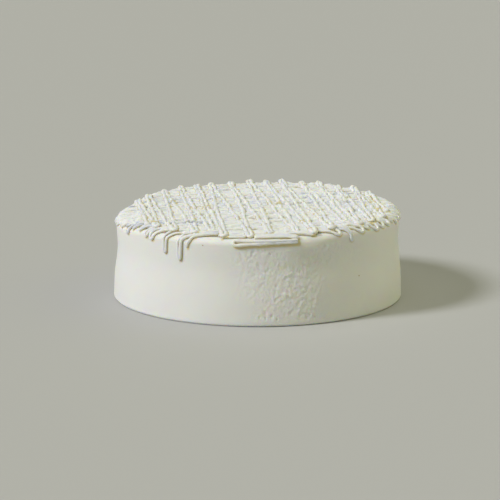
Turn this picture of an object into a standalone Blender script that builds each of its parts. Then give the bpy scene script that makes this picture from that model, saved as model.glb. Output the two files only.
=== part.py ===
# Whole round frosted cake with two crossing passes of piped cream on its top.
# Metres, +Z up. The origin is the centre of the flat foot; -Y is the front.

import random
from math import atan2, cos, pi, radians, sin, sqrt

import bpy
from mathutils import Vector

# Cake body
FOOT_RADIUS = 0.1148            # widest, just above the foot
FOOT_CHAMFER = 0.0012
FULL_HEIGHT = 0.020             # the lower side stays full up to here
FULL_RADIUS = 0.1142
WAIST_HEIGHT = 0.044            # the side draws in slightly here
WAIST_RADIUS = 0.1120
SHOULDER_RADIUS = 0.1124
SHOULDER_ROUND = 0.0050
TOP_HEIGHT = 0.0674             # frosting at the centre of the top
TOP_TILT = 0.020                # rise of the top to the right, metre per metre
BACK_TILT = 0.0085              # rise of the top to the back
PLATEAU_RADIUS = SHOULDER_RADIUS - SHOULDER_ROUND
BODY_STEPS = 80
SHOULDER_STEPS = 5
WAIST_STEPS = 3

# Piped strands
GAP = 0.0003                    # between pieces that touch
TIP_STEPS = 4                   # straight pieces round the tip of a narrow loop
TURN_STEP = 0.0026              # about the length of the straight pieces round a turn

# Lower pass: close rows from side to side
LOWER_RADIUS = 0.00125
LOWER_LIFT = GAP + LOWER_RADIUS
LOWER_ANGLE = 0.0
LOWER_SPACING = 0.00395
LOWER_ROWS = 54
LOWER_SHIFT = -LOWER_SPACING / 2        # one more row at the back than at the front
LOWER_WANDER = 0.00025          # most that a row lies off its even place
LOWER_END_RADIUS = 0.1103       # the rows reach the rounded edge
LOWER_FRONT_RADIUS = 0.1050     # shorter where the loops lie along and over the edge
FRONT_SECTOR = (radians(-43), radians(20))
FRONT_FADE = radians(8)
LEFT_SECTOR = (radians(-68), radians(-43))
LEFT_OVERHANG = 0.0030          # turns that fold over the left front edge
HOOK_SECTOR = (radians(36), radians(43))
HOOK_OVERHANG = 0.0050          # the turn that hooks over the right front edge

# Upper pass: open rows from the back to the front, drifting to the right, laid over the lower one
UPPER_RADIUS = 0.0014
UPPER_LIFT = LOWER_LIFT + LOWER_RADIUS + GAP + UPPER_RADIUS
UPPER_ANGLE = radians(-81.8)
UPPER_SPACING = 0.0069
UPPER_ROWS = 29
UPPER_WANDER = 0.0008
UPPER_END_RADIUS = 0.1025
UPPER_SHORT_RADIUS = 0.0950     # rows that stop short of the left front edge
SHORT_SECTOR = (radians(-32), radians(-9))
UPPER_PINCH = 0.0017            # half of how much nearer two rows come at their turn

# Hanging loops at the left front edge: azimuth of the tip, how much further right the legs start,
# and the drop below the shoulder
HANGING_LOOPS = (
    ("hanging_loop_left", radians(-38.0), radians(3.3), 0.0080),
    ("hanging_loop_middle", radians(-31.0), radians(2.0), 0.0119),
    ("hanging_loop_right", radians(-27.2), radians(3.6), 0.0018),
)
LOOP_RADIUS = 0.0011
LOOP_HALF_GAP = 0.00125         # half the distance between the two legs
LOOP_START = 0.1092             # reach at which the legs leave the top
LOOP_STEPS = 7

# Long loop lying along the front edge
FRONT_RADIUS = 0.0013
FRONT_LIFT = GAP + FRONT_RADIUS
FRONT_LOOP_AZIMUTHS = (radians(-7.9), radians(16.0))
FRONT_LOOP_REACHES = (0.0050, 0.0083)   # upper and lower leg, past the flat top
FRONT_LOOP_STEPS = 7

FROSTING_COLOUR = (0.78, 0.77, 0.71, 1.0)
CREAM_COLOUR = (0.86, 0.86, 0.80, 1.0)


def clear_scene():
    for item in list(bpy.data.objects):
        bpy.data.objects.remove(item, do_unlink=True)


def parts_collection():
    collection = bpy.data.collections.new("frosted_cheesecake")
    bpy.context.scene.collection.children.link(collection)
    return collection


def make_material(name, colour, roughness):
    material = bpy.data.materials.new(name)
    material.use_nodes = True
    shader = material.node_tree.nodes["Principled BSDF"]
    shader.inputs["Base Color"].default_value = colour
    shader.inputs["Roughness"].default_value = roughness
    shader.inputs["Metallic"].default_value = 0.0
    return material


def tilt_at(x, y, z):
    """Lift of a point when the whole top leans up to the right and the back and the foot stays flat."""
    return (TOP_TILT * x + BACK_TILT * y) * z / TOP_HEIGHT


def ease(start, end, share):
    """Value between start and end, with no slope at either one."""
    return start + (end - start) * (1 - cos(pi * share)) / 2


def body_profile():
    """Outline from the middle of the top over the shoulder and down the side to the foot."""
    points = [(0.0, TOP_HEIGHT)]
    for step in range(SHOULDER_STEPS + 1):
        angle = pi / 2 * step / SHOULDER_STEPS
        radius = PLATEAU_RADIUS + SHOULDER_ROUND * sin(angle)
        height = TOP_HEIGHT - SHOULDER_ROUND * (1 - cos(angle))
        points.append((radius, height))
    points.append((WAIST_RADIUS, WAIST_HEIGHT))
    for step in range(1, WAIST_STEPS + 1):
        share = step / WAIST_STEPS
        radius = ease(WAIST_RADIUS, FULL_RADIUS, share)
        height = WAIST_HEIGHT + (FULL_HEIGHT - WAIST_HEIGHT) * share
        points.append((radius, height))
    points.append((FOOT_RADIUS, FOOT_CHAMFER))
    points.append((FOOT_RADIUS - FOOT_CHAMFER, 0.0))
    points.append((0.0, 0.0))
    return points


def make_body(collection, material):
    """Turned cake whose top leans up slightly to the right."""
    profile = body_profile()
    outline = bpy.data.meshes.new("body_outline")
    edges = [(i, i + 1) for i in range(len(profile) - 1)]
    outline.from_pydata([(radius, 0.0, height) for radius, height in profile], edges, [])
    turned = bpy.data.objects.new("body_outline", outline)
    collection.objects.link(turned)
    screw = turned.modifiers.new("turn", "SCREW")
    screw.steps = BODY_STEPS
    screw.render_steps = BODY_STEPS
    screw.use_merge_vertices = True
    screw.merge_threshold = 0.00005

    depsgraph = bpy.context.evaluated_depsgraph_get()
    mesh = bpy.data.meshes.new_from_object(turned.evaluated_get(depsgraph))
    bpy.data.objects.remove(turned, do_unlink=True)
    mesh.name = "frosted_body"
    for vertex in mesh.vertices:
        vertex.co.z += tilt_at(*vertex.co)
    mesh.shade_smooth()
    mesh.set_sharp_from_angle(angle=radians(40))
    mesh.materials.clear()
    mesh.materials.append(material)
    body = bpy.data.objects.new("frosted_body", mesh)
    collection.objects.link(body)


def skin_point(azimuth, reach, lift):
    """Point held lift above the frosting, reach metres from the middle of the top.

    Past the flat top the reach is measured round the shoulder and then down the side.
    Azimuth 0 is the front and grows towards the right.
    """
    arc_radius = SHOULDER_ROUND + lift
    past = reach - PLATEAU_RADIUS
    if past <= 0:
        radius = reach
        height = TOP_HEIGHT + lift
    elif past < arc_radius * pi / 2:
        radius = PLATEAU_RADIUS + arc_radius * sin(past / arc_radius)
        height = TOP_HEIGHT - SHOULDER_ROUND + arc_radius * cos(past / arc_radius)
    else:
        radius = PLATEAU_RADIUS + arc_radius
        height = TOP_HEIGHT - SHOULDER_ROUND - (past - arc_radius * pi / 2)
    x = radius * sin(azimuth)
    y = -radius * cos(azimuth)
    return Vector((x, y, height + tilt_at(x, y, height)))


def lay_on_skin(plan_points, lift):
    """Flat plan points, folded over the shoulder where they run past the flat top."""
    return [skin_point(atan2(point.x, -point.y), point.length, lift) for point in plan_points]


def make_strand(collection, name, points, radius, material):
    """Round strand of cream along the points, closed at both ends."""
    curve = bpy.data.curves.new(name, "CURVE")
    curve.dimensions = "3D"
    curve.twist_mode = "MINIMUM"
    curve.bevel_depth = radius
    curve.bevel_resolution = 1
    curve.use_fill_caps = True
    spline = curve.splines.new("POLY")
    spline.points.add(len(points) - 1)
    for control, point in zip(spline.points, points):
        control.co = (point.x, point.y, point.z, 1.0)
    curve.materials.append(material)
    strand = bpy.data.objects.new(name, curve)
    collection.objects.link(strand)


def within(sector, azimuth):
    return sector[0] < azimuth < sector[1]


def lower_end_radius(azimuth):
    """Radius at which a row of the lower pass ends: shorter in front, where the loops lie."""
    outside = max(FRONT_SECTOR[0] - azimuth, azimuth - FRONT_SECTOR[1], 0.0)
    share = min(outside / FRONT_FADE, 1.0)
    return LOWER_FRONT_RADIUS + (LOWER_END_RADIUS - LOWER_FRONT_RADIUS) * share


def lower_overhang(azimuth):
    """How far a turn of the lower pass runs past its rows."""
    if within(HOOK_SECTOR, azimuth):
        return HOOK_OVERHANG
    return LEFT_OVERHANG if within(LEFT_SECTOR, azimuth) else 0.0


def upper_end_radius(azimuth):
    return UPPER_SHORT_RADIUS if within(SHORT_SECTOR, azimuth) else UPPER_END_RADIUS


def turn(start, end, bulge, overhang):
    """Hairpin from the end of one row to the start of the next: a leg out, a half ring, a leg back."""
    middle = (start + end) / 2
    half = (start - end) / 2
    outward = middle.normalized()
    leg_steps = round(overhang / TURN_STEP)
    legs = [outward * overhang * step / leg_steps for step in range(1, leg_steps + 1)]
    ring_steps = round(pi * max(half.length, bulge) / TURN_STEP)
    points = [start + leg for leg in legs]
    for step in range(1, ring_steps):
        angle = pi * step / ring_steps
        ring = half * cos(angle) + outward * bulge * sin(angle)
        points.append(middle + outward * overhang + ring)
    points += [end + leg for leg in reversed(legs)]
    return points


def row_end(across, along, offset, end_radius_at):
    """Half length of a row at this offset; its end radius depends on the azimuth where it stops."""
    radius = PLATEAU_RADIUS
    for attempt in range(6):
        half_row = sqrt(max(radius ** 2 - offset ** 2, 0.0))
        point = across * offset + along * half_row
        radius = (radius + end_radius_at(atan2(point.x, -point.y))) / 2
    return half_row


def zigzag(angle, spacing, rows, shift, wander, pinch, end_radius_at, overhang_at, rng):
    """Plan of one pass: parallel rows cut to the edge, joined by hairpins on alternate sides."""
    along = Vector((cos(angle), sin(angle)))
    across = Vector((sin(angle), -cos(angle)))
    path = []
    for row in range(rows):
        ahead = along if row % 2 == 0 else -along
        offset = shift + (row - (rows - 1) / 2) * spacing + wander * rng.uniform(-1, 1)
        back = row_end(across, -ahead, offset, end_radius_at)
        front = row_end(across, ahead, offset, end_radius_at)
        start = across * (offset - pinch) - ahead * back
        finish = across * (offset + pinch) + ahead * front
        if path:
            middle = (path[-1] + start) / 2
            overhang = overhang_at(atan2(middle.x, -middle.y))
            path += turn(path[-1], start, spacing / 2 - pinch, overhang)
        path += [start, *edge_crossings(start, finish), finish]
    return path


def edge_crossings(start, finish):
    """Where a straight row crosses the circle at which the flat top begins to round over."""
    run = finish - start
    middle = -start.dot(run) / run.length_squared
    nearest = (start + run * middle).length
    if nearest >= PLATEAU_RADIUS:
        return []
    half = sqrt(PLATEAU_RADIUS ** 2 - nearest ** 2) / run.length
    return [start + run * share for share in (middle - half, middle + half) if 0.01 < share < 0.99]


def make_lower_pass(collection, material):
    plan = zigzag(
        LOWER_ANGLE, LOWER_SPACING, LOWER_ROWS, LOWER_SHIFT, LOWER_WANDER, 0.0,
        lower_end_radius, lower_overhang, random.Random(11),
    )
    points = lay_on_skin(plan, LOWER_LIFT)
    make_strand(collection, "lower_piping", points, LOWER_RADIUS, material)


def make_upper_pass(collection, material):
    plan = zigzag(
        UPPER_ANGLE, UPPER_SPACING, UPPER_ROWS, 0.0, UPPER_WANDER, UPPER_PINCH,
        upper_end_radius, lambda azimuth: 0.0, random.Random(23),
    )
    points = lay_on_skin(plan, UPPER_LIFT)
    make_strand(collection, "upper_piping", points, UPPER_RADIUS, material)


def make_hanging_loop(collection, name, azimuth, lean, drop, material):
    """Narrow hairpin that leans over the edge from the right and hangs down the side."""
    lift = GAP + LOOP_RADIUS
    tip_reach = PLATEAU_RADIUS + (SHOULDER_ROUND + lift) * pi / 2 + drop - LOOP_HALF_GAP
    half_angle = LOOP_HALF_GAP / SHOULDER_RADIUS
    legs = []
    for side in (-1, 1):
        leg = []
        for step in range(LOOP_STEPS + 1):
            share = step / LOOP_STEPS
            reach = LOOP_START + (tip_reach - LOOP_START) * share
            turned = azimuth + lean * (1 - share) ** 2 + side * half_angle
            leg.append(skin_point(turned, reach, lift))
        legs.append(leg)
    ring = []
    for step in range(1, TIP_STEPS):
        angle = pi * step / TIP_STEPS
        turned = azimuth - half_angle * cos(angle)
        ring.append(skin_point(turned, tip_reach + LOOP_HALF_GAP * sin(angle), lift))
    points = legs[0] + ring + legs[1][::-1]
    make_strand(collection, name, points, LOOP_RADIUS, material)


def make_front_loop(collection, material):
    """Long hairpin on the front shoulder, with its turn at the left and its ends at the right."""
    left, right = FRONT_LOOP_AZIMUTHS
    upper = PLATEAU_RADIUS + FRONT_LOOP_REACHES[0]
    lower = PLATEAU_RADIUS + FRONT_LOOP_REACHES[1]
    middle = (upper + lower) / 2
    half = (lower - upper) / 2
    azimuths = [right + (left - right) * step / FRONT_LOOP_STEPS for step in range(FRONT_LOOP_STEPS + 1)]
    points = [skin_point(azimuth, upper, FRONT_LIFT) for azimuth in azimuths]
    for step in range(1, TIP_STEPS):
        angle = pi * step / TIP_STEPS
        azimuth = left - half * sin(angle) / SHOULDER_RADIUS
        points.append(skin_point(azimuth, middle - half * cos(angle), FRONT_LIFT))
    points += [skin_point(azimuth, lower, FRONT_LIFT) for azimuth in reversed(azimuths)]
    make_strand(collection, "front_loop", points, FRONT_RADIUS, material)


def main():
    clear_scene()
    collection = parts_collection()
    make_body(collection, make_material("whipped_frosting", FROSTING_COLOUR, 0.62))
    make_lower_pass(collection, make_material("lower_cream", CREAM_COLOUR, 0.45))
    make_upper_pass(collection, make_material("upper_cream", CREAM_COLOUR, 0.45))
    make_front_loop(collection, make_material("front_cream", CREAM_COLOUR, 0.45))
    for name, azimuth, lean, drop in HANGING_LOOPS:
        material = make_material(name + "_cream", CREAM_COLOUR, 0.45)
        make_hanging_loop(collection, name, azimuth, lean, drop, material)


main()
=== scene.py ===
import bpy
import numpy as np
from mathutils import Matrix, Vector


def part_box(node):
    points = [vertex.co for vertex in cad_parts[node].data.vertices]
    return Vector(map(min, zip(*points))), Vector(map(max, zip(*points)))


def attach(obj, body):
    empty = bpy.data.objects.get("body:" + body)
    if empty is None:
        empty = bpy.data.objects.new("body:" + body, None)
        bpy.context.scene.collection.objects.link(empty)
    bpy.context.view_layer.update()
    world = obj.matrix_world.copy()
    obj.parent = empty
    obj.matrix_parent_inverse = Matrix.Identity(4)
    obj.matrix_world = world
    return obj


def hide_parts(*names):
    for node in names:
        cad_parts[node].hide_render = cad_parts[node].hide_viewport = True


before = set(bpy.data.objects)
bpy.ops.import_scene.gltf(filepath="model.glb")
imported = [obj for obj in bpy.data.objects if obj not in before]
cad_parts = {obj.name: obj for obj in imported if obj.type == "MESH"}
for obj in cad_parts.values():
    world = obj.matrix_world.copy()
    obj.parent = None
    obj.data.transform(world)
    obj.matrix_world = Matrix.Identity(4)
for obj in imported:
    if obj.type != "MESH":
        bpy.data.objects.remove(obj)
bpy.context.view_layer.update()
bodyLow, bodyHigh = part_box("frosted_body")
mm = 0.001

# the cake's own sizes, hung on the frame's box of the body
cake = {
    "footRadius": (bodyHigh.x - bodyLow.x) / 2,
    "footChamfer": 1.2 * mm,
    "shoulderRadius": 112.4 * mm,
    "shoulderRound": 5.0 * mm,
    "tilt": 0.020,  # the top rises to the right
    "backTilt": 0.0085,  # and to the back
    # how far the rim sinks at the left and at the right, and where that starts and ends
    "leftSag": (3.4 * mm, 86 * mm, 103 * mm),
    "rightSag": (2.0 * mm, 62 * mm, 104 * mm),
    "leftSagDepth": (-90 * mm, -20 * mm),  # the left one grows from front to back between these
}
cake["plateau"] = cake["shoulderRadius"] - cake["shoulderRound"]
cake["top"] = bodyHigh.z - np.hypot(cake["tilt"], cake["backTilt"]) * cake["plateau"]


def linearColour(hexText):
    # sRGB hex to linear RGBA: the low part is divided by 12.92, the rest is a 2.4 power curve
    srgb = np.array([int(hexText[i:i + 2], 16) for i in (1, 3, 5)]) / 255
    linear = np.where(srgb <= 0.04045, srgb / 12.92, ((srgb + 0.055) / 1.055) ** 2.4)
    return (*linear.tolist(), 1.0)


def fadeBetween(low, high, value):
    # 0 at low, 1 at high, with level ends: 3t^2 - 2t^3
    share = np.clip((value - low) / (high - low), 0, 1)
    return share * share * (3 - 2 * share)


def hump(value):
    # bell curve: 1 in the middle, 0.37 one unit away
    return np.exp(-value ** 2)


def addNode(tree, kind, values=None, links=None, **props):
    # one shader node with its properties, socket values and incoming links
    node = tree.nodes.new(kind)
    for name, value in props.items():
        setattr(node, name, value)
    for name, value in (values or {}).items():
        node.inputs[name].default_value = value
    for name, socket in (links or {}).items():
        tree.links.new(socket, node.inputs[name])
    return node


def blurAlong(values, sigma):
    # Gaussian average along the first axis, with the ends repeated; sigma is in samples
    half = int(np.ceil(3 * sigma))
    kernel = np.exp(-0.5 * (np.arange(-half, half + 1) / sigma) ** 2)
    kernel /= kernel.sum()
    padded = np.concatenate([np.repeat(values[:1], half, 0), values, np.repeat(values[-1:], half, 0)])
    columns = padded.reshape(len(padded), -1)
    blurred = np.stack([np.convolve(column, kernel, "valid") for column in columns.T], -1)
    return blurred.reshape(values.shape)


def waver(rng, count, sigma):
    # smooth random line of unit spread: white noise averaged over sigma samples
    line = blurAlong(rng.standard_normal(count + 1), sigma)[:count]
    return line / max(line.std(), 1e-9)


def noiseSheet(rng, shape, sizes):
    # random relief of unit spread with lumps of the given sizes in samples:
    # white noise times a Gaussian in frequency, so it wraps round both ways
    rows, columns = shape
    down = np.fft.fftfreq(rows)[:, None] * sizes[0]
    across = np.fft.rfftfreq(columns)[None, :] * sizes[1]
    softness = np.exp(-2 * np.pi ** 2 * (down ** 2 + across ** 2))
    spectrum = np.fft.rfft2(rng.standard_normal(shape)) * softness
    sheet = np.fft.irfft2(spectrum, s=shape)
    sheet -= sheet.mean()
    return sheet / sheet.std()


# The skin of the frosting, which everything piped lies on. A place on it is an azimuth, 0 at the front
# and growing to the right, and a reach: out from the middle of the top, round the shoulder, down the side.

def tiltAt(x, y, z):
    # rise of a point that would stand at height z on a level cake:
    # (tilt * x + backTilt * y - the sags) * share of the full height
    leftSag, leftStart, leftEnd = cake["leftSag"]
    rightSag, rightStart, rightEnd = cake["rightSag"]
    leftSag = leftSag * fadeBetween(leftStart, leftEnd, -x) * fadeBetween(*cake["leftSagDepth"], y)
    rightSag = rightSag * fadeBetween(rightStart, rightEnd, x)
    return (cake["tilt"] * x + cake["backTilt"] * y - leftSag - rightSag) * z / cake["top"]


def skinPoint(azimuth, reach, lift):
    # points lifted off the frosting and the way out of it there: flat to the edge of the top, then
    # a quarter circle, then straight down; the tilt of the top only raises or lowers the points
    azimuth, reach, lift = np.broadcast_arrays(azimuth, reach, lift)
    arc = cake["shoulderRound"] + lift
    past = np.clip(reach - cake["plateau"], 0, None)
    angle = np.clip(past / arc, 0, np.pi / 2)
    radius = np.minimum(reach, cake["plateau"]) + arc * np.sin(angle)
    drop = np.clip(past - arc * np.pi / 2, 0, None)  # what is left of the reach below the shoulder
    height = cake["top"] - cake["shoulderRound"] + arc * np.cos(angle) - drop
    x, y = radius * np.sin(azimuth), -radius * np.cos(azimuth)
    points = np.stack([x, y, height + tiltAt(x, y, height)], -1)
    out = np.stack([np.sin(angle) * np.sin(azimuth), -np.sin(angle) * np.cos(azimuth), np.cos(angle)], -1)
    return points, out


# Strands are drawn on a plan, where a point past the edge stands as far out as its reach.

def planPoints(azimuth, reach):
    return np.stack([reach * np.sin(azimuth), -reach * np.cos(azimuth)], -1)


def planPlaces(plan):
    return np.arctan2(plan[:, 0], -plan[:, 1]), np.hypot(plan[:, 0], plan[:, 1])


def evenRoute(plan, step):
    # the same line with points a step apart, measured on the frosting
    skin, _ = skinPoint(*planPlaces(plan), 0.0)
    along = np.concatenate([[0], np.cumsum(np.linalg.norm(np.diff(skin, axis=0), axis=1))])
    places = np.linspace(0, along[-1], int(round(along[-1] / step)) + 1)
    return np.stack([np.interp(places, along, column) for column in plan.T], -1)


def shaken(route, step, amounts, rng):
    # the hand wavers: the line moves sideways by (amount, length) pairs of slow and quick wander
    ahead = np.gradient(route, axis=0)
    ahead /= np.linalg.norm(ahead, axis=1, keepdims=True)
    sideways = np.stack([-ahead[:, 1], ahead[:, 0]], -1)
    shake = sum(amount * waver(rng, len(route), length * mm / step) for amount, length in amounts)
    return sideways * shake[:, None] * mm


def knobbly(rng, count, sides, amount):
    # small bumps of the cream: each corner of each ring a little in or out, as a share of the radius,
    # softened over part of a ring along the strand
    ringShare = 0.6
    bumps = blurAlong(rng.standard_normal((count, sides)), ringShare)
    return 1 + amount * bumps / bumps.std()


def sweep(centres, out, radius, sides, shadeTint=0.0, bumps=1.0, height=1.0):
    # strand: ring = centre + radius * (cos a * sideways + sin a * outwards), its lower half flattened and
    # its upper half times height, closed with a fan at both ends. The painted shade at the foot is s + (s -
    # 1) * sin a,
    # s being the share given per ring: 1 at the bottom and -1 on top, or 1 all round where s is 1.
    flatten = 0.9
    along = np.gradient(centres, axis=0)
    along /= np.linalg.norm(along, axis=1, keepdims=True)
    sideways = np.cross(along, out)
    sideways /= np.linalg.norm(sideways, axis=1, keepdims=True)
    upwards = np.cross(sideways, along)
    angle = np.arange(sides) * 2 * np.pi / sides
    rise = np.sin(angle)
    rise = np.where(rise < 0, rise * flatten, rise * height)
    rings = centres[:, None] + (radius[:, None] * bumps)[..., None] * (
        np.cos(angle)[None, :, None] * sideways[:, None] + rise[None, :, None] * upwards[:, None])
    count = len(centres)
    ring = np.arange(count - 1)[:, None] * sides
    side = np.arange(sides)[None]
    after = (side + 1) % sides
    quads = np.stack(
        [ring + side, ring + after, ring + sides + after, ring + sides + side], -1).reshape(-1, 4)
    first, last, tail = count * sides, count * sides + 1, (count - 1) * sides
    caps = [(first, (j + 1) % sides, j) for j in range(sides)]
    caps += [(last, tail + j, tail + (j + 1) % sides) for j in range(sides)]
    points = np.concatenate([rings.reshape(-1, 3), centres[:1], centres[-1:]])
    shadeTint = np.broadcast_to(shadeTint, count)[:, None]
    foot = (shadeTint + (shadeTint - 1) * np.sin(angle)[None]).reshape(-1)
    return points, quads, caps, np.concatenate([foot, [0, 0]])


def roundedEnds(count, step, radius):
    # share of the full radius along a strand, a half circle at each end that stops just short of a point
    tip = 0.02
    places = np.arange(count) * step
    share = np.clip(np.minimum(places, places[::-1]) / radius, 0, 1)
    return tip + (1 - tip) * np.sqrt(1 - (1 - share) ** 2)


def makeMesh(name, points, quads, triangles=()):
    mesh = bpy.data.meshes.new(name)
    mesh.from_pydata(points.tolist(), [], [*quads.tolist(), *triangles])
    mesh.update()
    mesh.shade_smooth()
    piece = bpy.data.objects.new(name, mesh)
    bpy.context.scene.collection.objects.link(piece)
    return piece


def storeAttribute(piece, name, values):
    attribute = piece.data.attributes.new(name, "FLOAT", "POINT")
    attribute.data.foreach_set("value", np.ascontiguousarray(values, dtype=np.float32))


def strandPiece(name, sweeps):
    # one piece from one or more sweeps
    start, points, quads, caps, feet = 0, [], [], [], []
    for strandPoints, strandQuads, strandCaps, foot in sweeps:
        points.append(strandPoints)
        quads.append(strandQuads + start)
        caps += [tuple(index + start for index in cap) for cap in strandCaps]
        feet.append(foot)
        start += len(strandPoints)
    piece = makeMesh(name, np.concatenate(points), np.concatenate(quads), caps)
    # foot: the painted shade share of each point
    storeAttribute(piece, "foot", np.concatenate(feet))
    return piece


# Lower pass: close rows from side to side, each turn hanging a little over the edge. A turn is
# (its row's place behind the middle, how far past the flat top its centre line goes, half gap there,
# half gap on the top). The front turns are listed one by one and the rest follow evenly. Lengths are in mm
# and softening is in steps. A pair named ...Past says how far past the flat top something starts and ends.
lowerPass = {
    "sides": 8, "step": 1.05, "seed": 311, "soften": 0.9,
    "radius": 1.55, "edgeRadius": 1.25, "dripRadius": 1.15,
    "widthPast": (-4, 1, 4, 9),  # full radius up to the first, edge radius between the middle two
    "lift": 0.9, "liftSoften": 2,  # height of the strand's centre, in radii
    "sunk": 0.75, "sunkPast": (0, 5),  # share of that height it loses past the edge
    "heave": (0.35, 2.0), "heaveMiddle": 1.2, "heaveMost": 3,  # rise and fall of the strand, and its length
    "edgeHeave": 0.25, "heavePast": (3, -3),  # less of it past the edge
    "leftHeave": 0.6, "leftHeaveFrom": (-80, -95),  # and more of it at the far left
    "hangPast": (4, 10), "loopShadeTint": 0.25,  # further out it hangs: smooth, still and lightly tinted with painted shade
    "knobs": 0.13, "shake": [(0.75, 22), (0.3, 3)],
    "spacing": 7.9, "wander": 1.2, "overhang": (2.8, 5.6), "leftGap": 1.45, "rightGap": 2.45,
    "lead": 3.0, "clear": 1.2,  # a turn starts before the edge by lead, or further out than its row by clear
    "fallPast": (1.0, 8.0), "lastRow": 107.0, "start": (-98.1, 11.6),
    "loopReach": 26.0, "overlap": 4,  # line taken by a hanging loop each way from its tip, and shared steps
    "leftTurns": [
        (-94.8, 20.6, 0.95, 2.2), (-87.3, 16.4, 0.9, 2.2), (-77.8, 7.4, 1.4, 1.3), (-72.8, 6.2, 1.4, 1.3),
        (-64.5, 3.0, 1.5, 1.5), (-56.2, 3.8, 1.4, 1.3), (-51.0, 7.0, 1.2, 1.3), (-43.0, 2.4, 1.5, 1.5),
        (-35.0, 3.2, 1.45, 1.45), (-27.5, 2.2, 1.45, 1.45), (-19.8, 3.8, 1.45, 1.45),
    ],
    "rightTurns": [
        (-100.0, 0.8, 1.4, 1.4), (-92.0, 2.9, 1.6, 1.6), (-86.2, 9.6, 1.1, 1.2), (-77.5, 2.5, 2.4, 2.4),
        (-71.0, 1.8, 1.4, 1.4), (-64.0, 3.1, 2.2, 2.2), (-55.5, 2.2, 2.3, 2.3), (-47.0, 2.8, 2.4, 2.4),
        (-38.2, 3.0, 2.45, 2.45),
    ],
    # short rows that fill the front, past the last full one, softened a little more and shaken half as much
    "frontSoften": 1.0, "frontShake": 0.5,
    "frontRows": [
        [(-30, -101.4), (-9.5, -103.6), (-9.5, -106.6), (-27, -104.6)],
        [(-3, -109.4), (31, -107.6), (29, -104.9), (-3, -106.6), (-3, -103.6), (24, -103.0)],
    ],
}


def edgeTurn(side, row, past, tipGap, halfGap):
    # The centre line keeps to its row up to the edge and then falls straight down the side:
    # d(azimuth) = tan(angle between the line and straight out) / radius * d(reach), the angle fading
    # from that of the straight row to 0. The legs lie half a gap to either side, with a half circle
    # at the tip.
    count, ringCount, shortest = 30, 11, 0.5 * mm
    row, tip = row * mm, cake["plateau"] + past * mm
    start = max(cake["plateau"] - lowerPass["lead"] * mm, abs(row) + lowerPass["clear"] * mm)
    reach = np.linspace(start, max(tip, start + shortest), count)
    fallStart, fallEnd = lowerPass["fallPast"]
    fallen = fadeBetween(fallStart * mm, fallEnd * mm, reach - cake["plateau"])
    bend = -side * np.sign(row) * np.arcsin(np.abs(row) / reach) * (1 - fallen)
    radius = np.minimum(reach, cake["shoulderRadius"])
    turning = np.tan(bend) / radius
    steps = (turning[1:] + turning[:-1]) / 2 * np.diff(reach)
    azimuth = np.arctan2(side * np.sqrt(start ** 2 - row ** 2), -row)
    azimuth = azimuth + np.concatenate([[0], np.cumsum(steps)])
    gap = (halfGap + (tipGap - halfGap) * fadeBetween(0, 1, np.linspace(0, 1, count))) * mm * side
    shift = np.stack([gap * np.cos(bend) / radius, -gap * np.sin(bend)])
    front = np.stack([azimuth, reach]) - shift
    back = np.stack([azimuth, reach]) + shift
    angle = np.linspace(0, np.pi, ringCount)[1:-1]
    out, along = -gap[-1] * np.cos(angle), abs(gap[-1]) * np.sin(angle)
    ring = np.stack([
        azimuth[-1] + (out * np.cos(bend[-1]) + along * np.sin(bend[-1])) / radius[-1],
        reach[-1] - out * np.sin(bend[-1]) + along * np.cos(bend[-1])])
    return planPoints(*front), planPoints(*ring), planPoints(*back[:, ::-1])


def allTurns(byHand, halfGap, rng):
    # the listed turns, and even ones with a little wander up to the back edge
    turns = list(byHand)
    row = turns[-1][0]
    while row + lowerPass["spacing"] < lowerPass["lastRow"]:
        row += lowerPass["spacing"]
        place = row + lowerPass["wander"] * rng.uniform(-1, 1)
        turns.append((place, rng.uniform(*lowerPass["overhang"]), halfGap, halfGap))
    return turns


def lowerPlan(rng):
    # one line: up from the loose start at the left front, then to and fro towards the back
    left = allTurns(lowerPass["leftTurns"], lowerPass["leftGap"], rng)
    right = allTurns(lowerPass["rightTurns"], lowerPass["rightGap"], rng)
    row, past = lowerPass["start"]
    _, _, startLeg = edgeTurn(-1, row, past, 0.0, 0.0)
    pieces, tips = [startLeg], [startLeg[0]]
    for rightTurn, leftTurn in zip(right, left):
        pieces += edgeTurn(1, *rightTurn)
        leftLegs = edgeTurn(-1, *leftTurn)
        tips.append(leftLegs[1][len(leftLegs[1]) // 2])
        pieces += leftLegs
    return np.concatenate(pieces), tips[:3]


# cream comes out of the nozzle a little unevenly: slow swells and quick ones, as shares of the radius,
# with their lengths in steps
swells = {"slow": (0.05, 12), "quick": (0.09, 2)}


def swelling(count, rng):
    return 1 + sum(amount * waver(rng, count, length) for amount, length in swells.values())


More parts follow.
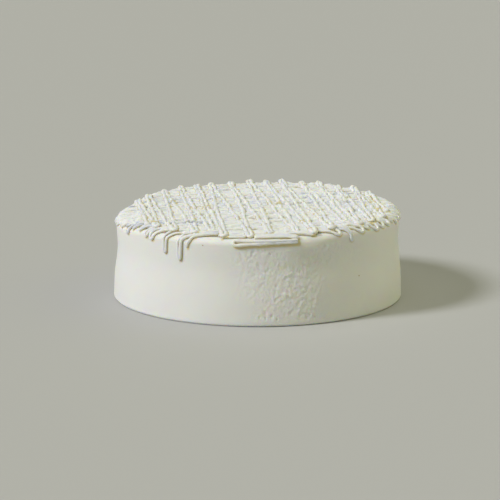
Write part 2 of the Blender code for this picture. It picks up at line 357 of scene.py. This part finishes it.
def makeLowerPass(upperRoute):
    settings = lowerPass
    rng = np.random.default_rng(settings["seed"])
    step = settings["step"] * mm
    plan, tips = lowerPlan(rng)
    route = blurAlong(evenRoute(plan, step), settings["soften"])
    _, reach = planPlaces(route)
    past = (reach - cake["plateau"]) / mm
    hanging = fadeBetween(*settings["hangPast"], past)
    lying = 1 - hanging
    route = route + shaken(route, step, settings["shake"], rng) * lying[:, None]
    widths = [settings[name] for name in ("radius", "edgeRadius", "edgeRadius", "dripRadius")]
    radius = np.interp(past, settings["widthPast"], widths) * mm * swelling(len(route), rng)
    azimuth, reach = planPlaces(route)
    lift = blurAlong(radius, settings["liftSoften"]) * settings["lift"]
    lift = lift * (1 - settings["sunk"] * fadeBetween(*settings["sunkPast"], past))
    heave, length = settings["heave"]
    heaving = settings["heaveMiddle"] + waver(rng, len(route), length * mm / step)
    heaving = heave * mm * np.clip(heaving, 0, settings["heaveMost"])
    leftStart, leftEnd = settings["leftHeaveFrom"]
    heaving = heaving * (1 + settings["leftHeave"] * fadeBetween(leftStart * mm, leftEnd * mm, route[:, 0]))
    inside = fadeBetween(*settings["heavePast"], past)
    heaving = heaving * (settings["edgeHeave"] + (1 - settings["edgeHeave"]) * inside)
    lift = lift + heaving * lying
    centres, out = skinPoint(azimuth, reach, lift)
    # painted shade: shadow lines beside the upper strands, and a little all round the hanging parts
    shadeTint = np.maximum(paintedShadowBeside(route, upperRoute), settings["loopShadeTint"] * hanging)
    bumps = knobbly(rng, len(route), settings["sides"], settings["knobs"])
    bumps = 1 + (bumps - 1) * lying[:, None]

    def cut(low, high):
        part = slice(max(low, 0), min(high, len(route)))
        ends = roundedEnds(part.stop - part.start, step, settings["radius"] * mm)
        return sweep(
            centres[part], out[part], radius[part] * ends, settings["sides"], shadeTint[part], bumps[part])

    # the three hanging loops are cut out of the same line, overlapping it by a few steps
    reachOut, overlap = int(settings["loopReach"] * mm / step), settings["overlap"]
    at = [int(np.argmin(((route - tip) ** 2).sum(1))) for tip in tips]
    names = ["hanging_loop_right", "hanging_loop_middle", "hanging_loop_left"]
    hangers = {
        name: strandPiece(name + "Strand", [cut(place - reachOut - overlap, place + reachOut + overlap)])
        for name, place in zip(names, at)
    }
    between = [(at[0] + reachOut, at[1] - reachOut), (at[1] + reachOut, at[2] - reachOut),
               (at[2] + reachOut, len(route))]
    sweeps = [cut(*part) for part in between]
    short, shortLift = [], []
    for corners in settings["frontRows"]:
        line = blurAlong(evenRoute(np.array(corners) * mm, step), settings["frontSoften"])
        line = line + settings["frontShake"] * shaken(line, step, settings["shake"], rng)
        lineRadius = settings["edgeRadius"] * mm
        lineLift = lineRadius * settings["lift"]
        uneven = swelling(len(line), rng) * roundedEnds(len(line), step, lineRadius)
        lineCentres, lineOut = skinPoint(*planPlaces(line), lineLift)
        # painted shadow beside the upper strands, on the short front rows too
        sweeps.append(sweep(
            lineCentres, lineOut, lineRadius * uneven, settings["sides"], paintedShadowBeside(line, upperRoute)))
        short.append(line)
        shortLift.append(np.full(len(line), lineLift))
    laid = np.concatenate([route, *short]), np.concatenate([lift, *shortLift])
    return strandPiece("lowerStrands", sweeps), hangers, laid


# Upper pass: open rows from the back to the front, leaning to the right by a few degrees. Each turn stands
# where its row would cross the middle, in mm from the centre, and a front turn also has its own reach.
# The turns are narrow, so the rows come in pairs. Names with Reach are distances out from the middle.
upperPass = {
    "radius": 1.5, "height": 0.95, "sides": 12, "step": 0.85, "seed": 523, "soften": 0.6, "turnPoints": 9,
    "lean": 8.2, "shake": [(0.45, 26), (0.25, 3.5)], "shakeReach": (104, 92),
    "backTurns": [-92, -82, -67, -52, -38, -25, -8, 8, 22, 35, 51, 64, 77, 89, 98],
    "frontTurns": [
        (-87, 104.6), (-75, 104.6), (-60, 103.0), (-47, 92.0), (-40, 107.8), (-21, 106.4), (-5, 100.0),
        (15, 99.0), (28, 107.5), (43, 104.0), (57, 93.0), (67, 104.6), (79, 104.6), (91, 104.6)],
    "backGap": 1.2, "frontGap": 1.5, "backReach": 104.4, "reachWander": 0.8,  # gaps are half gaps
    "looseGap": 0.5, "looseOut": 2.0,  # the two loose ends, outside the first and last back turns
    "resting": 0.9, "press": 0.5, "sag": 1.1,  # centre height in radii, and how it rides over strands below
    "heave": (0.34, 2.2), "heaveReach": (108, 104), "knobs": 0.11,
    "nub": 0.2, "nubLift": 0.8, "nubReach": (97, 103), "nubEndReach": (108, 106),  # thicker at the turns
}


def upperPlan(rng):
    # turn centre = across * place + along * sqrt(reach^2 - place^2), legs half a gap to either side,
    # and a half circle beyond them
    settings = upperPass
    lean = np.radians(settings["lean"])
    across, backwards = np.array([np.cos(lean), np.sin(lean)]), np.array([-np.sin(lean), np.cos(lean)])
    angle = np.linspace(0, np.pi, settings["turnPoints"])[:, None]

    def turnAt(place, way, reach, gap):
        offset = place * mm * np.cos(lean)
        centre = across * offset + backwards * way * np.sqrt((reach * mm) ** 2 - offset ** 2)
        return centre + gap * mm * (-across * np.cos(angle) + way * backwards * np.sin(angle))

    firstReach, lastReach = settings["frontTurns"][0][1], settings["frontTurns"][-1][1]
    out, gap = settings["looseOut"], settings["looseGap"]
    pieces = [turnAt(settings["backTurns"][0] - out, -1, firstReach, gap)[-1:]]
    for index, back in enumerate(settings["backTurns"]):
        reach = settings["backReach"] + settings["reachWander"] * rng.uniform(-1, 1)
        pieces.append(turnAt(back, 1, reach, settings["backGap"]))
        if index < len(settings["frontTurns"]):
            front, reach = settings["frontTurns"][index]
            pieces.append(turnAt(front, -1, reach, settings["frontGap"]))
    pieces.append(turnAt(settings["backTurns"][-1] + out, -1, lastReach, gap)[:1])
    return np.concatenate(pieces)


def nearest(routeA, routeB):
    # distance from each point of one route to the other, and which point it is, some hundreds at a time
    distance, index, batch = np.zeros(len(routeA)), np.zeros(len(routeA), int), 400
    for start in range(0, len(routeA), batch):
        part = slice(start, start + batch)
        gap = ((routeA[part, None] - routeB[None]) ** 2).sum(-1)
        index[part] = gap.argmin(1)
        distance[part] = np.sqrt(gap.min(1))
    return distance, index


def makeUpperRoute(rng):
    step = upperPass["step"] * mm
    route = blurAlong(evenRoute(upperPlan(rng), step), upperPass["soften"])
    _, reach = planPlaces(route)
    outer, inner = upperPass["shakeReach"]
    free = fadeBetween(outer * mm, inner * mm, reach)
    return route + shaken(route, step, upperPass["shake"], rng) * free[:, None]


# Painted shadow between the strands: it comes in short stretches of uneven strength, and without gaps near
# the edge
shadowLines = {
    "seed": 41, "middle": 0.35, "spread": 0.55, "length": 2.0, "wholeReach": (88, 96),
    "right": 0.4, "gone": 2.6, "full": 1.8,  # in mm, like the length and the reach
}


def paintedShadowBeside(route, upperRoute):
    # Where an upper strand lies on a lower one, its shadow is painted on the lower one at its foot: full
    # under its edge, gone a little way out, and shifted slightly to the right, the side away from the light.
    rng = np.random.default_rng(shadowLines["seed"])
    line = waver(rng, len(upperRoute), shadowLines["length"] / upperPass["step"])
    uneven = np.clip(shadowLines["middle"] + shadowLines["spread"] * line, 0, 1)
    _, reach = planPlaces(upperRoute)
    wholeStart, wholeEnd = shadowLines["wholeReach"]
    uneven = np.maximum(uneven, fadeBetween(wholeStart * mm, wholeEnd * mm, reach))
    distance, index = nearest(route, upperRoute + [shadowLines["right"] * mm, 0.0])
    return fadeBetween(shadowLines["gone"] * mm, shadowLines["full"] * mm, distance) * uneven[index]


def makeUpperPass(route, lowerLaid, rng):
    # The upper strands ride over the lower ones: over a lower strand the centre stands at the lower
    # centre + sqrt((press * (r1 + r2))^2 - distance^2), averaged as a soft cord sags.
    settings = upperPass
    step, radius = settings["step"] * mm, settings["radius"] * mm
    both = (radius + lowerPass["radius"] * mm) * settings["press"]
    lowerRoute, lowerLift = lowerLaid
    distance, index = nearest(route, lowerRoute)
    resting = radius * settings["resting"]
    over = lowerLift[index] + np.sqrt(np.clip(both ** 2 - distance ** 2, 0, None))
    lift = np.maximum(np.where(distance < both, over, resting), resting)
    lift = blurAlong(lift, settings["sag"] * mm / step)
    azimuth, reach = planPlaces(route)
    nubFade = fadeBetween(*settings["nubReach"], reach / mm)
    atTurn = nubFade * fadeBetween(*settings["nubEndReach"], reach / mm)
    lift = lift + settings["nubLift"] * mm * atTurn * (route[:, 1] > 0)
    heave, length = settings["heave"]
    heaving = heave * mm * waver(rng, len(route), length * mm / step)
    lift = lift + heaving * fadeBetween(*settings["heaveReach"], reach / mm)
    thickness = radius * swelling(len(route), rng) * (1 + settings["nub"] * atTurn)
    thickness = thickness * roundedEnds(len(route), step, radius)
    centres, out = skinPoint(azimuth, reach, lift)
    bumps = knobbly(rng, len(route), settings["sides"], settings["knobs"])
    strand = sweep(centres, out, thickness, settings["sides"], 0.0, bumps, settings["height"])
    return strandPiece("upperStrands", [strand])


# Long loop lying along the front edge: two legs joined by a turn at the left and drawn together at the
# right, where both end bluntly. Marks are places along a leg, 0 at its right end and 1 at its left, and
# ...Past is how far past the flat top each leg lies there, in mm.
frontLoop = {
    "radius": 1.32, "lift": 0.7, "sides": 16, "step": 0.6, "seed": 71, "shadeTint": 0.45, "soften": 1.5,
    "legPoints": 20, "turnPoints": 12, "endShare": 0.7,  # an end rounds off over this share of the radius
    "azimuths": (-8.3, 15.8), "marks": (0.0, 0.45, 0.86, 1.0),
    "upperPast": (6.1, 5.9, 5.6, 4.9), "lowerPast": (7.5, 7.4, 8.1, 8.8),
}


def makeFrontLoop():
    settings = frontLoop
    rng = np.random.default_rng(settings["seed"])
    left, right = np.radians(settings["azimuths"])
    share = np.linspace(0, 1, settings["legPoints"])
    azimuth = right + (left - right) * share
    upper = np.interp(share, settings["marks"], settings["upperPast"]) * mm + cake["plateau"]
    lower = np.interp(share, settings["marks"], settings["lowerPast"]) * mm + cake["plateau"]
    angle = np.linspace(0, np.pi, settings["turnPoints"])[1:-1]
    middle, half = (upper[-1] + lower[-1]) / 2, (lower[-1] - upper[-1]) / 2
    turnAzimuth = left - half * np.sin(angle) / cake["shoulderRadius"]
    azimuths = np.concatenate([azimuth, turnAzimuth, azimuth[::-1]])
    reaches = np.concatenate([upper, middle - half * np.cos(angle), lower[::-1]])
    step = settings["step"] * mm
    route = blurAlong(evenRoute(planPoints(azimuths, reaches), step), settings["soften"])
    fullRadius = settings["radius"] * mm
    radius = fullRadius * swelling(len(route), rng)
    radius = radius * roundedEnds(len(route), step, fullRadius * settings["endShare"])
    centres, out = skinPoint(*planPlaces(route), fullRadius * settings["lift"])
    # the front loop carries painted shade all round, most at its foot
    strand = sweep(centres, out, radius, settings["sides"], settings["shadeTint"])
    return strandPiece("frontStrand", [strand]), route


# The frosted body. A lump is (azimuth, height in mm, half width in degrees, half height in mm, out in mm)
# and a pit is (azimuth, height in mm). Azimuths are in degrees. Sizes of the random relief are in samples
# down and around the side, which are 0.7 mm and 0.4 mm.
bodyShape = {
    "seed": 97,
    "fineColumn": 0.2, "fineFrom": -42.0, "fineTo": 48.0, "coarseEvery": 3,
    "topRings": 7, "shoulderRings": 9, "sideRings": 88, "innerShare": 0.12, "footShare": 0.6,
    "widths": [(1.2, 114.8), (10, 114.6), (20, 114.2), (32, 113.1), (44, 112.0), (61.5, 112.4)],
    "widthSoften": 5,
    "unevenness": 0.16, "unevenSize": (24, 150),
    "lumps": [
        (-92, 42, 30, 16, -0.9), (23, 59.5, 6, 3.5, 0.8), (24, 52.0, 9, 5.0, -0.8),
        (33, 46, 15, 10, -1.6), (15, 54, 7, 12, 0.8), (120, 46, 26, 12, -0.5),
    ],
    # the rough patch: its place, the height where it fades out, how its sides wander, its patches and bumps
    "roughCentre": 15.0, "roughHalf": 19.0, "roughTop": (64, 58), "drift": 3, "driftSize": (12, 25),
    "patchFade": (-1.2, 0.6), "patchSize": (5, 14), "patchLeast": 0.35,
    "mottle": 0.13, "mottleSize": (1.1, 1.9), "fineMottle": 0.6, "fineSize": (0.7, 1.2),
    "pits": [
        (0.8, 7.0), (3.1, 6.6), (5.4, 8.2), (7.4, 5.6), (16.0, 7.4), (18.6, 5.9), (20.2, 8.0), (22.0, 6.2),
        (7.2, 31.0), (4.9, 56.0),
    ],
    "pitSize": 0.75, "pitDepth": 0.8,
    # the relief fades in over this height above the foot in mm, and between these shares of the top's radius
    "reliefFoot": 4.0, "reliefTop": (0.5, 1.0),
    "underTint": 0.75, "underFade": (1.0, 0.98),  # warm tint of the top, under the strands
}


def bodyProfile():
    # Radius, height and reach of each ring, from near the middle of the top down to the foot: a flat top,
    # a quarter circle, the softened widths down the side, and a small chamfer.
    top = np.linspace(bodyShape["innerShare"], 1, bodyShape["topRings"]) * cake["plateau"]
    angle = np.linspace(0, np.pi / 2, bodyShape["shoulderRings"] + 1)[1:]
    shoulderRadius = cake["plateau"] + cake["shoulderRound"] * np.sin(angle)
    shoulderHeight = cake["top"] - cake["shoulderRound"] * (1 - np.cos(angle))
    height = np.linspace(shoulderHeight[-1], cake["footChamfer"], bodyShape["sideRings"] + 1)[1:]
    knots, widths = np.array(bodyShape["widths"]).T * mm
    side = blurAlong(np.interp(height, knots, widths), bodyShape["widthSoften"])
    foot = np.array([cake["footRadius"] - cake["footChamfer"]])
    radius = np.concatenate([top, shoulderRadius, side, foot, foot * bodyShape["footShare"]])
    heights = np.concatenate([np.full(len(top), cake["top"]), shoulderHeight, height, [0, 0]])
    down = cake["plateau"] + cake["shoulderRound"] * np.pi / 2 + shoulderHeight[-1] - height
    reach = np.concatenate([top, cake["plateau"] + cake["shoulderRound"] * angle, down, [1, 1]])
    return radius, heights, reach


def bodyRelief(azimuth, height, rng):
    # How far the frosting stands out, in mm: soft unevenness, the lumps as bell curves, a rough patch right
    # of the front where the blade tore the surface, and the pits. The patch is exp(-|across|^3), where
    # across is 1 at its half width.
    shape = (len(height), len(azimuth))
    degrees, rise = np.degrees(azimuth)[None], height[:, None] / mm
    relief = bodyShape["unevenness"] * noiseSheet(rng, shape, bodyShape["unevenSize"])
    for centre, middle, halfWidth, halfHeight, out in bodyShape["lumps"]:
        relief = relief + out * hump((degrees - centre) / halfWidth) * hump((rise - middle) / halfHeight)
    drift = noiseSheet(rng, shape, bodyShape["driftSize"]) * bodyShape["drift"]
    across = (degrees - bodyShape["roughCentre"] + drift) / bodyShape["roughHalf"]
    patchy = fadeBetween(*bodyShape["patchFade"], noiseSheet(rng, shape, bodyShape["patchSize"]))
    patchy = bodyShape["patchLeast"] + (1 - bodyShape["patchLeast"]) * patchy
    rough = np.exp(-np.abs(across) ** 3) * fadeBetween(*bodyShape["roughTop"], rise) * patchy
    mottle = noiseSheet(rng, shape, bodyShape["mottleSize"])
    mottle = mottle + bodyShape["fineMottle"] * noiseSheet(rng, shape, bodyShape["fineSize"])
    relief = relief + rough * bodyShape["mottle"] * mottle
    for centre, middle in bodyShape["pits"]:
        away = np.hypot((degrees - centre) * np.pi / 180 * cake["footRadius"] / mm, rise - middle)
        relief = relief - bodyShape["pitDepth"] * hump(away / bodyShape["pitSize"])
    return relief * mm, rough


# Painted shadow on the frosting beside strands that hang over the edge, shifted right and down as their
# shadows fall, all in mm: the rings that may carry it and the strands that give it, past the flat top, how
# far down to look for a strand, the shift of the tint, and how far from a strand's shifted centre line it is
# gone and full
halo = {
    "ringsPast": (1, 27), "strandPast": 2, "near": 2.5,
    "right": 0.75, "down": 0.55, "gone": 1.6, "full": 0.8,
}


def paintedShadowHalo(azimuth, reach, routes):
    # painted shadow tint of each place on the side, by its distance to the nearest strand's shifted centre
    # line
    warm = np.zeros((len(reach), len(azimuth)))
    first, last = (cake["plateau"] + past * mm for past in halo["ringsPast"])
    rings = np.flatnonzero((reach > first) & (reach < last))
    places, strandReach = planPlaces(np.concatenate(routes))
    outside = strandReach > cake["plateau"] + halo["strandPast"] * mm
    across = places[outside] * cake["shoulderRadius"] + halo["right"] * mm
    down = strandReach[outside] + halo["down"] * mm
    for ring in rings:
        close = np.abs(down - reach[ring]) < halo["near"] * mm
        if close.any():
            gap = azimuth[:, None] * cake["shoulderRadius"] - across[close][None]
            distance = np.hypot(gap, down[close][None] - reach[ring]).min(1)
            warm[ring] = fadeBetween(halo["gone"] * mm, halo["full"] * mm, distance)
    return warm


def makeBody(routes):
    # rings pushed out along the profile's normal by the relief, closed by fans at the top and the foot
    rng = np.random.default_rng(bodyShape["seed"])
    radius, height, reach = bodyProfile()
    every = np.arange(-180, 180, bodyShape["fineColumn"])
    fine = (every > bodyShape["fineFrom"]) & (every < bodyShape["fineTo"])
    keep = fine | (np.arange(len(every)) % bodyShape["coarseEvery"] == 0)
    relief, rough = bodyRelief(np.radians(every), height, rng)
    azimuth, relief, rough = np.radians(every[keep]), relief[:, keep], rough[:, keep]
    onSide = fadeBetween(0, bodyShape["reliefFoot"] * mm, height)
    onSide = onSide * fadeBetween(*bodyShape["reliefTop"], radius / cake["plateau"])
    outRadius, outHeight = -np.gradient(height), np.gradient(radius)
    size = np.hypot(outRadius, outHeight)
    relief = relief * onSide[:, None]
    ringRadius = radius[:, None] + relief * (outRadius / size)[:, None]
    ringHeight = height[:, None] + relief * (outHeight / size)[:, None]
    x, y = ringRadius * np.sin(azimuth), -ringRadius * np.cos(azimuth)
    points = np.stack([x, y, ringHeight + tiltAt(x, y, ringHeight)], -1).reshape(-1, 3)
    points = np.concatenate([points, [[0, 0, cake["top"]], [0, 0, 0]]])
    columns, rings = len(azimuth), len(radius)
    ring = np.arange(rings - 1)[:, None] * columns
    column = np.arange(columns)[None]
    after = (column + 1) % columns
    quads = np.stack([ring + column, ring + columns + column, ring + columns + after, ring + after], -1)
    topMiddle, footMiddle, tail = rings * columns, rings * columns + 1, (rings - 1) * columns
    fans = [(topMiddle, j, (j + 1) % columns) for j in range(columns)]
    fans += [(footMiddle, tail + (j + 1) % columns, tail + j) for j in range(columns)]
    piece = makeMesh("frosting", points, quads.reshape(-1, 4), fans)
    under = fadeBetween(*bodyShape["underFade"], radius / cake["plateau"]) * (height > cake["top"] / 2)
    # warm: painted shadow beside the hanging strands, and a plain warm tint of the top under the strands
    warm = np.maximum(paintedShadowHalo(azimuth, reach, routes), bodyShape["underTint"] * under[:, None])
    storeAttribute(piece, "warm", np.concatenate([warm.reshape(-1), [1, 0]]))
    storeAttribute(piece, "rough", np.concatenate([rough.reshape(-1), [0, 0]]))
    return piece


# Crumbs stuck in the frosting: (azimuth, past the flat top in mm, radius in mm). Sunk is how much of a
# round crumb's width would lie under the frosting. Flatness squeezes it and stretch draws it out, as shares.
crumbs = {
    "places": [(-21.4, 8.5, 0.45), (43.0, 38.2, 0.5)],
    "sunk": 0.35, "flatness": 0.6, "stretch": 0.25, "sides": 10, "layers": 6,
}


def makeCrumbs():
    # each is a small ball on a grid of two angles, pressed flat against the frosting
    sides, layers, flatness = crumbs["sides"], crumbs["layers"], crumbs["flatness"]
    around = np.arange(sides) * 2 * np.pi / sides
    up = np.linspace(-np.pi / 2, np.pi / 2, layers + 1)[1:-1]
    start, points, quads, fans = 0, [], [], []
    for number, (degrees, past, size) in enumerate(crumbs["places"]):
        lift = size * mm * (1 - 2 * crumbs["sunk"])
        centre, out = skinPoint(np.radians(degrees), cake["plateau"] + past * mm, lift)
        wider = np.interp(centre[2] / mm, *np.array(bodyShape["widths"]).T) * mm - cake["shoulderRadius"]
        centre = centre + out * wider
        aside = np.array([np.cos(np.radians(degrees)), np.sin(np.radians(degrees)), 0])
        above = np.cross(out, aside)
        stretch = 1 + crumbs["stretch"] * np.cos(2 * around + number)
        ring = np.cos(around)[:, None] * aside + np.sin(around)[:, None] * above
        ball = np.cos(up)[:, None, None] * (ring * stretch[:, None])[None]
        ball = ball + flatness * np.sin(up)[:, None, None] * out
        poles = np.stack([-flatness * out, flatness * out])
        points.append(centre + size * mm * np.concatenate([ball.reshape(-1, 3), poles]))
        layer = np.arange(len(up) - 1)[:, None] * sides
        side = np.arange(sides)[None]
        after = (side + 1) % sides
        quads.append(start + np.stack(
            [layer + side, layer + after, layer + sides + after, layer + sides + side], -1).reshape(-1, 4))
        bottom, tail = start + len(up) * sides, start + (len(up) - 1) * sides
        top = bottom + 1
        fans += [(bottom, start + (j + 1) % sides, start + j) for j in range(sides)]
        fans += [(top, tail + j, tail + (j + 1) % sides) for j in range(sides)]
        start += len(up) * sides + 2
    return makeMesh("crumbs", np.concatenate(points), np.concatenate(quads), fans)


def newMaterial(name):
    material = bpy.data.materials.new(name)
    material.use_nodes = True
    tree = material.node_tree
    shader = tree.nodes["Principled BSDF"]
    place = addNode(tree, "ShaderNodeTexCoord").outputs["Object"]
    return material, tree, shader, place


def whippedFrosting():
    # Whipped cream frosting smoothed with a blade: matte, and light goes a little way in, so its edges stay
    # soft. Its air bubbles are under 0.2 mm; the grain is 0.7 mm (scale 1400) so that it shows, and
    # strongest in the rough patch. The tone drifts over about 3 cm (scale 35).
    material, tree, shader, place = newMaterial("whippedFrosting")
    cloud = addNode(tree, "ShaderNodeTexNoise", {"Scale": 35.0, "Detail": 3.0}, {"Vector": place})
    tint = addNode(tree, "ShaderNodeMix", {
        6: linearColour("#f3f3f0"), 7: linearColour("#eeeeea")}, {
        0: cloud.outputs["Fac"]}, data_type="RGBA")
    # warm mixes the frosting towards #e8dcb2: painted shadow beside the hanging strands, and the warm tint
    # of the top under them
    warm = addNode(tree, "ShaderNodeAttribute", attribute_name="warm")
    base = addNode(tree, "ShaderNodeMix", {7: linearColour("#e8dcb2")}, {
        0: warm.outputs["Fac"], 6: tint.outputs[2]}, data_type="RGBA")
    tree.links.new(base.outputs[2], shader.inputs["Base Color"])
    rough = addNode(tree, "ShaderNodeAttribute", attribute_name="rough")
    grain = addNode(tree, "ShaderNodeTexNoise", {"Scale": 1400.0, "Detail": 3.0}, {"Vector": place})
    depth = addNode(tree, "ShaderNodeMath", {1: 0.75, 2: 0.25}, {
        0: rough.outputs["Fac"]}, operation="MULTIPLY_ADD")
    height = addNode(tree, "ShaderNodeMath", None, {
        0: grain.outputs["Fac"], 1: depth.outputs[0]}, operation="MULTIPLY")
    bump = addNode(tree, "ShaderNodeBump", {"Strength": 0.3, "Distance": 0.3 * mm}, {
        "Height": height.outputs[0]})
    tree.links.new(bump.outputs["Normal"], shader.inputs["Normal"])
    shader.inputs["Roughness"].default_value = 0.6
    shader.inputs["Specular IOR Level"].default_value = 0.35
    shader.inputs["Subsurface Weight"].default_value = 0.8
    shader.inputs["Subsurface Radius"].default_value = (1.0, 0.75, 0.35)
    shader.inputs["Subsurface Scale"].default_value = 3.5 * mm
    return material


def pipedCream():
    # White cream pressed through a small round nozzle: satin, with painted shade in warm tan at its feet
    # where strands meet.
    # The tone drifts over about 8 mm (scale 120) and the grain is about 1 mm (scale 900).
    material, tree, shader, place = newMaterial("pipedCream")
    cloud = addNode(tree, "ShaderNodeTexNoise", {"Scale": 120.0, "Detail": 2.0}, {"Vector": place})
    tint = addNode(tree, "ShaderNodeMix", {
        6: linearColour("#f7f7f5"), 7: linearColour("#f1f2ef")}, {
        0: cloud.outputs["Fac"]}, data_type="RGBA")
    # foot: painted shade, mixing the cream towards warm tan #e2d5aa at the bottom of each strand and along
    # the painted shadow lines
    foot = addNode(tree, "ShaderNodeAttribute", attribute_name="foot")
    warm = addNode(tree, "ShaderNodeMapRange", {1: -0.3, 2: 1.0}, {
        0: foot.outputs["Fac"]}, interpolation_type="SMOOTHSTEP")
    base = addNode(tree, "ShaderNodeMix", {7: linearColour("#e2d5aa")}, {
        0: warm.outputs[0], 6: tint.outputs[2]}, data_type="RGBA")
    tree.links.new(base.outputs[2], shader.inputs["Base Color"])
    grain = addNode(tree, "ShaderNodeTexNoise", {"Scale": 900.0, "Detail": 2.0}, {"Vector": place})
    bump = addNode(tree, "ShaderNodeBump", {"Strength": 0.2, "Distance": 0.2 * mm}, {
        "Height": grain.outputs["Fac"]})
    tree.links.new(bump.outputs["Normal"], shader.inputs["Normal"])
    shader.inputs["Roughness"].default_value = 0.42
    shader.inputs["Specular IOR Level"].default_value = 0.4
    shader.inputs["Subsurface Weight"].default_value = 0.6
    shader.inputs["Subsurface Radius"].default_value = (1.0, 0.8, 0.4)
    shader.inputs["Subsurface Scale"].default_value = 3.0 * mm
    return material


def bakedCrumb():
    # Golden biscuit crumb: dry and matte, in two browns that change over about 0.7 mm (scale 1500)
    material, tree, shader, place = newMaterial("bakedCrumb")
    toast = addNode(tree, "ShaderNodeTexNoise", {"Scale": 1500.0, "Detail": 2.0}, {"Vector": place})
    base = addNode(tree, "ShaderNodeMix", {
        6: linearColour("#b8985a"), 7: linearColour("#d2bd8a")}, {
        0: toast.outputs["Fac"]}, data_type="RGBA")
    tree.links.new(base.outputs[2], shader.inputs["Base Color"])
    shader.inputs["Roughness"].default_value = 0.85
    return material


upperRng = np.random.default_rng(upperPass["seed"])
upperRoute = makeUpperRoute(upperRng)
lowerStrands, hangers, lowerLaid = makeLowerPass(upperRoute)
frontStrand, frontRoute = makeFrontLoop()
upperStrands = makeUpperPass(upperRoute, lowerLaid, upperRng)
print("strands", len(lowerStrands.data.polygons), len(upperStrands.data.polygons))
frosting = makeBody([lowerLaid[0], frontRoute])
print("frosting", len(frosting.data.polygons))

frostingLook, creamLook = whippedFrosting(), pipedCream()
replaced = {
    "frosted_body": frosting, "lower_piping": lowerStrands, "upper_piping": upperStrands,
    "front_loop": frontStrand, **hangers,
}
for node, piece in replaced.items():
    piece.data.materials.append(frostingLook if piece is frosting else creamLook)
    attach(piece, "root")
    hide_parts(node)
crumbPiece = makeCrumbs()
crumbPiece.data.materials.append(bakedCrumb())
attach(crumbPiece, "root")
print("crumbs", len(crumbPiece.data.polygons))

# The stage: a pale floor, a soft key from the left and weaker fills. Lights are
# (azimuth right of the front, elevation, apparent size, all in degrees, strength, colour).
stage = {
    "floorColour": "#bfbfbe",
    "lights": {
        "key": (-66, 38, 14, 2.07, (1.0, 1.0, 1.05)),
        "topFill": (0, 85, 60, 0.5, (1.0, 1.0, 0.98)),
        "rightFill": (68, 30, 50, 0.25, (1.0, 1.0, 0.6)),
        "backFill": (115, 35, 60, 0.5, (1.0, 1.0, 0.7)),
    },
    "ambient": (0.15, 0.15, 0.09), "ambientStrength": 1.0,
}


def makeFloor():
    # a wide square just under the foot of the cake
    mesh = bpy.data.meshes.new("floor")
    side = 9.0
    corners = [(-side, -side, 0), (side, -side, 0), (side, side, 0), (-side, side, 0)]
    mesh.from_pydata(corners, [], [(0, 1, 2, 3)])
    floor = bpy.data.objects.new("floor", mesh)
    floor.location.z = -0.2 * mm
    bpy.context.scene.collection.objects.link(floor)
    material = bpy.data.materials.new("paleFloor")
    material.use_nodes = True
    shader = material.node_tree.nodes["Principled BSDF"]
    shader.inputs["Base Color"].default_value = linearColour(stage["floorColour"])
    shader.inputs["Roughness"].default_value = 0.8
    mesh.materials.append(material)


def makeLights():
    # suns around the cake, and an even dim light from all sides
    for name, (right, up, size, strength, colour) in stage["lights"].items():
        azimuth, elevation = np.radians(right), np.radians(up)
        towards = Vector((
            np.sin(azimuth) * np.cos(elevation), -np.cos(azimuth) * np.cos(elevation), np.sin(elevation)))
        light = bpy.data.lights.new(name, "SUN")
        light.angle = np.radians(size)
        light.energy = strength
        light.color = colour
        holder = bpy.data.objects.new(name, light)
        holder.location = towards
        holder.rotation_euler = towards.to_track_quat("Z", "Y").to_euler()
        bpy.context.scene.collection.objects.link(holder)
    world = bpy.data.worlds.new("softRoom")
    world.use_nodes = True
    background = world.node_tree.nodes["Background"]
    background.inputs["Color"].default_value = (*stage["ambient"], 1.0)
    background.inputs["Strength"].default_value = stage["ambientStrength"]
    bpy.context.scene.world = world


# a long lens slightly above the table, its place and aim in metres
view = {"lens": 152.0, "place": (0.0, -1.65, 0.380), "aim": (-0.0060, 0.0, 0.0350), "clip": (0.05, 50.0)}


def makeCamera():
    camera = bpy.data.cameras.new("camera")
    camera.sensor_width = 36.0
    camera.lens = view["lens"]
    camera.clip_start, camera.clip_end = view["clip"]
    holder = bpy.data.objects.new("camera", camera)
    holder.location = view["place"]
    holder.rotation_euler = (holder.location - Vector(view["aim"])).to_track_quat("Z", "Y").to_euler()
    bpy.context.scene.collection.objects.link(holder)
    bpy.context.scene.camera = holder


makeFloor()
makeLights()
makeCamera()
bpy.context.scene.view_settings.view_transform = "Standard"
print("floor, lights and camera")
